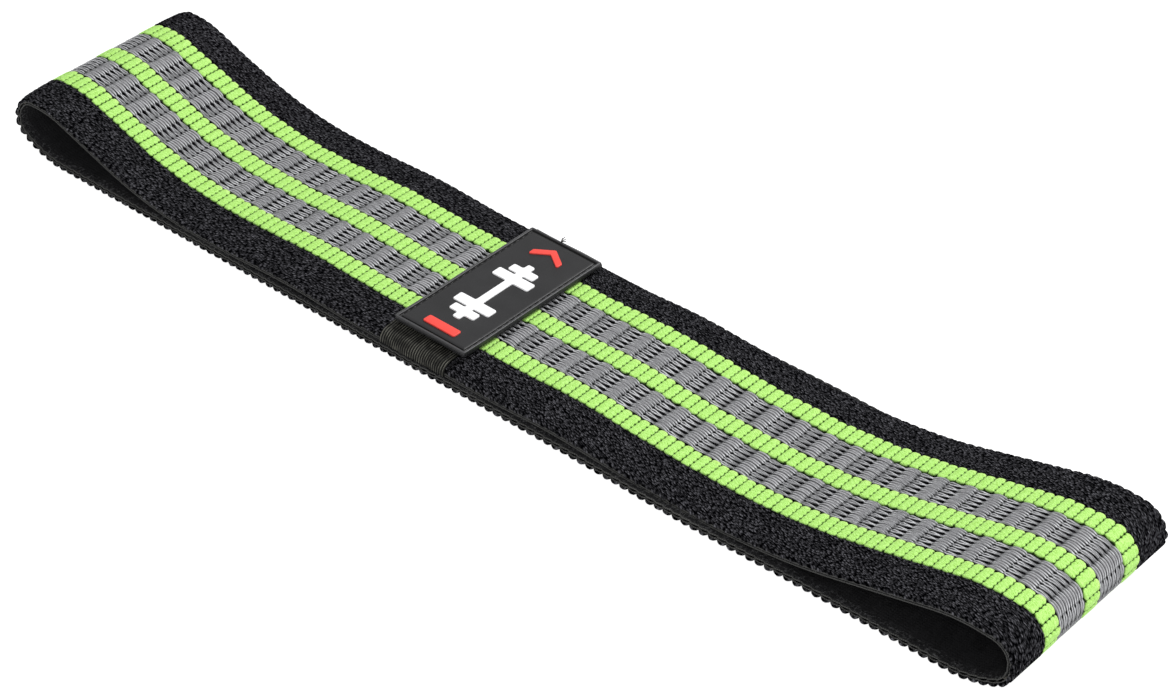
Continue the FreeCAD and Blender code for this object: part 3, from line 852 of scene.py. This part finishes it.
# Inset from the outline and height, from the underside over the rim and the groove to the field
profile = [
    (0.9 * MM, bottom_z), (0.15 * MM, bottom_z), (0, bottom_z + 0.15 * MM), (0, rim_z - 0.28 * MM),
    (0.1 * MM, rim_z - 0.07 * MM), (0.3 * MM, rim_z), (0.5 * MM, rim_z - 0.03 * MM),
    (RIM_WIDTH - 0.25 * MM, rim_z - 0.1 * MM), (RIM_WIDTH - 0.06 * MM, rim_z - 0.2 * MM),
    (RIM_WIDTH, rim_z - 0.35 * MM),
    (RIM_WIDTH + 0.05 * MM, groove_z + 0.1 * MM), (RIM_WIDTH + 0.2 * MM, groove_z),
    (groove_end - 0.2 * MM, groove_z), (groove_end - 0.05 * MM, groove_z + 0.1 * MM),
    (groove_end, field_z - 0.12 * MM), (groove_end + 0.12 * MM, field_z),
]
profile += [(inset * MM, field_z) for inset in (3, 4.5, 6.5, 9, 11.5, 13.5, 15.2)]
rings, own = [], []
for inset, z in profile:
    outline = rounded_oblong(half_x - inset, half_y - inset, max(LABEL_RADIUS - inset, 0.25 * MM))
    px, py = label_x + outline[:, 0], outline[:, 1]
    rings.append(np.stack([px, py, z + label_bend(px, py)], axis=-1))
    # The rim's crest is painted a little lighter as a highlight, and the groove is painted dark as shade.
    rim_highlit = 0.05 * MM < inset < 0.55 * MM and z > field_z
    groove = z < field_z - 0.2 * MM and inset > RIM_WIDTH
    own.append(np.broadcast_to([rim_highlit * MM, 0, groove * MM], rings[-1].shape))
label_finish = pvc("black_pvc", (0.008, 0.008, 0.0087), (0.026, 0.026, 0.0275))
on_seam("label_base", np.array(rings)[None], np.array(own)[None], label_finish, "black_pvc", "label_base")

# ---------------------------------------------------------------------------------------------
# Raised signs. A red bar, a white dumbbell and a red chevron are moulded in their own colours and
# stand half a millimetre above the label's field.


def rounded_outline(corners, radius, steps=5):
    """A closed outline with every corner rounded by an arc."""
    points = []
    count = len(corners)
    for i, corner in enumerate(corners):
        here = np.array(corner)
        before, after = np.array(corners[i - 1]), np.array(corners[(i + 1) % count])
        u, v = here - before, after - here
        room = min(np.linalg.norm(u), np.linalg.norm(v)) / 2
        u, v = u / np.linalg.norm(u), v / np.linalg.norm(v)
        turn = math.atan2(u[0] * v[1] - u[1] * v[0], float(u @ v))
        reach = min(radius * math.tan(abs(turn) / 2), room * 0.98)
        for k in range(steps + 1):
            t = k / steps
            start, end = here - u * reach, here + v * reach
            points.append((1 - t) ** 2 * start + 2 * t * (1 - t) * here + t ** 2 * end)
    return np.array(points)


def moulded_sign(name, corners, radius, finish, slot, height):
    """A raised sign: upright sides, a soft rounded shoulder and a flat top that follows the label."""
    outline = rounded_outline(corners, radius)
    ahead, behind = np.roll(outline, -1, axis=0), np.roll(outline, 1, axis=0)
    along = (ahead - behind) / np.linalg.norm(ahead - behind, axis=1, keepdims=True)
    inward = np.stack([-along[:, 1], along[:, 0]], axis=-1)
    shoulder = 0.22 * MM
    rings = []
    for inset, z in [(-0.05 * MM, -0.1 * MM), (0, 0.02 * MM), (0, height - shoulder)] + [
        (shoulder * (1 - math.cos(a)), height - shoulder + shoulder * math.sin(a))
        for a in (math.pi / 8, math.pi / 4, 3 * math.pi / 8, math.pi / 2)
    ]:
        ring = outline + inward * inset
        px, py = ring[:, 0], ring[:, 1]
        rings.append(np.stack([px, py, field_z + z + label_bend(px, py)], axis=-1))
    on_seam(name, np.array(rings)[None], None, finish, slot, name)


red_finish = pvc("red_pvc", (0.74, 0.045, 0.035), (0.84, 0.085, 0.065))
white_finish = pvc("white_pvc", (0.82, 0.82, 0.83), (0.92, 0.92, 0.93))
sign_height = bar_high.z - bar_low.z
moulded_sign("label_bar", [(bar_low.x, bar_low.y), (bar_high.x, bar_low.y), (bar_high.x, bar_high.y),
                           (bar_low.x, bar_high.y)], 0.8 * MM, red_finish, "red_pvc", sign_height)

dumbbell_low, dumbbell_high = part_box("label_dumbbell")
middle_y = (dumbbell_low.y + dumbbell_high.y) / 2
# Out along one end: the bar, the large plate, the bar again, the small plate and the bar's end
steps_out = [(1.5, 7.4), (8.0, 7.4), (8.0, 11.8), (1.5, 11.8), (1.5, 12.8), (5.5, 12.8), (5.5, 16.4),
             (1.5, 16.4), (1.5, 19.0)]
quarter = [(x * MM, y * MM) for x, y in steps_out]
right_edge = [(x, -y) for x, y in reversed(quarter)] + quarter
corners = [(label_x + x, middle_y + y) for x, y in right_edge]
corners += [(label_x - x, middle_y + y) for x, y in reversed(right_edge)]
moulded_sign("label_dumbbell", corners, 0.8 * MM, white_finish, "white_pvc", sign_height)

chevron_low, chevron_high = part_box("label_chevron")
CHEVRON_WIDTH = 3 * MM
rise = chevron_high.y - chevron_low.y - CHEVRON_WIDTH
corners = [(label_x, chevron_high.y), (chevron_low.x, chevron_high.y - rise), (chevron_low.x, chevron_low.y),
           (label_x, chevron_high.y - CHEVRON_WIDTH), (chevron_high.x, chevron_low.y),
           (chevron_high.x, chevron_high.y - rise)]
moulded_sign("label_chevron", corners, 0.7 * MM, red_finish, "red_pvc", sign_height)

# ---------------------------------------------------------------------------------------------
# Label stitches. One row of black lock stitches lies in the groove all the way round, and its
# last thread end sticks out at the back edge.

groove_middle = RIM_WIDTH + GROOVE_WIDTH / 2
reach_x, reach_y = half_x - groove_middle, half_y - groove_middle
starts, ends = [], []
LABEL_STITCH_PITCH, LABEL_STITCH = 3 * MM, 2.3 * MM
for along, across, turned in ((reach_x, reach_y, False), (reach_y, reach_x, True)):
    count = int((2 * along - 2 * STITCH) / LABEL_STITCH_PITCH) + 1
    for i in range(count):
        place = (i - (count - 1) / 2) * LABEL_STITCH_PITCH
        for edge in (-across, across):
            a, b = (place - LABEL_STITCH / 2, edge), (place + LABEL_STITCH / 2, edge)
            (ax, ay), (bx, by) = ((a[1], a[0]), (b[1], b[0])) if turned else (a, b)
            z = groove_z - 0.02 * MM
            starts.append((label_x + ax, ay, z + float(label_bend(label_x + ax, ay))))
            ends.append((label_x + bx, by, z + float(label_bend(label_x + bx, by))))
# The stitches in the groove are painted darker than the same black thread elsewhere, as the groove's shade.
on_seam("label_stitches", *stitch_tubes(starts, ends, [0.12 * MM] * len(starts), 0.2 * MM),
        cord_black("groove_shaded_thread", 0.012), "black_thread", "label_stitches")

# The loose end: a short frayed tuft of the same thread, from the groove over the back rim.
tuft_x, tuft_y, tuft_z = label_x - 2 * MM, label_high.y - 0.6 * MM, label_high.z
tuft = []
for lean, rise, reach in ((-0.5, 0.9, 1.5), (0.1, 1.3, 1.9), (0.7, 0.7, 1.7), (1.3, 0.3, 1.2)):
    tuft.append((tuft_x + lean * MM, tuft_y + reach * MM, tuft_z + rise * MM))
tubes, own = stitch_tubes([(tuft_x, tuft_y, tuft_z)] * len(tuft), tuft, [0.3 * MM] * len(tuft), 0.15 * MM)
tuft_piece = quad_mesh("loose_thread_end", tubes, own, columns_close=True)
tuft_piece.data.materials.append(thread_finish)
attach(tuft_piece, "seam")

# ---------------------------------------------------------------------------------------------
# Table, light and camera. The band lies on a plain pale table under two soft lamps and a bright
# room, and is seen from its front right, well above.


def pale_floor():
    finish = Finish("pale_floor", Roughness=0.9, Specular_IOR_Level=0.1, Emission_Strength=0.92)
    finish.shader.inputs["Emission Color"].default_value = (1, 1, 1, 1)
    place = finish.node("TexCoord", out=3)
    mottle = finish.noise(place, 3.0, 2.0)
    return finish.done(Base_Color=finish.blend(mottle, (0.26, 0.26, 0.26), (0.28, 0.28, 0.28)))


floor_points = np.array([[[[-3, -3, 0], [3, -3, 0]], [[-3, 3, 0], [3, 3, 0]]]], float)
floor = quad_mesh("floor", floor_points[:, :, ::-1])
floor.data.materials.append(pale_floor())
floor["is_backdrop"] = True

world = bpy.data.worlds.new("room")
world.use_nodes = True
bpy.context.scene.world = world
sky = world.node_tree.nodes["Background"]
sky.inputs["Color"].default_value = (1, 1, 1, 1)
sky.inputs["Strength"].default_value = 0.6


def soft_lamp(name, place, size, power):
    lamp = bpy.data.lights.new(name, "AREA")
    lamp.shape, lamp.size, lamp.energy = "DISK", size, power
    holder = bpy.data.objects.new(name, lamp)
    bpy.context.scene.collection.objects.link(holder)
    holder.location = place
    holder.rotation_euler = (-Vector(place)).to_track_quat("-Z", "Y").to_euler()


# Place and width in metres, power in watts
soft_lamp("key_lamp", (0.6, 1.2, 1.5), 0.7, 34)
soft_lamp("fill_lamp", (0.9, -1.2, 1.0), 0.9, 9)

AZIMUTH, ELEVATION, ROLL = math.radians(40.6), math.radians(37.7), math.radians(0.76)
AIM, DISTANCE = Vector((12.9 * MM, 6.2 * MM, 0)), 1067 * MM
camera_data = bpy.data.cameras.new("camera")
camera_data.lens, camera_data.sensor_width = 98.6, 36
camera_data.clip_start = 0.05
camera = bpy.data.objects.new("camera", camera_data)
bpy.context.scene.collection.objects.link(camera)
level_back = Vector((math.sin(AZIMUTH), -math.cos(AZIMUTH), 0))
back = level_back * math.cos(ELEVATION) + Vector((0, 0, math.sin(ELEVATION)))
level = (-back).to_track_quat("-Z", "Y").to_matrix()
turn = level @ Matrix.Rotation(ROLL, 3, "Z")
camera.matrix_world = Matrix.Translation(AIM + back * DISTANCE) @ turn.to_4x4()
bpy.context.scene.camera = camera
bpy.context.scene.view_settings.view_transform = "Standard"

low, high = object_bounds()
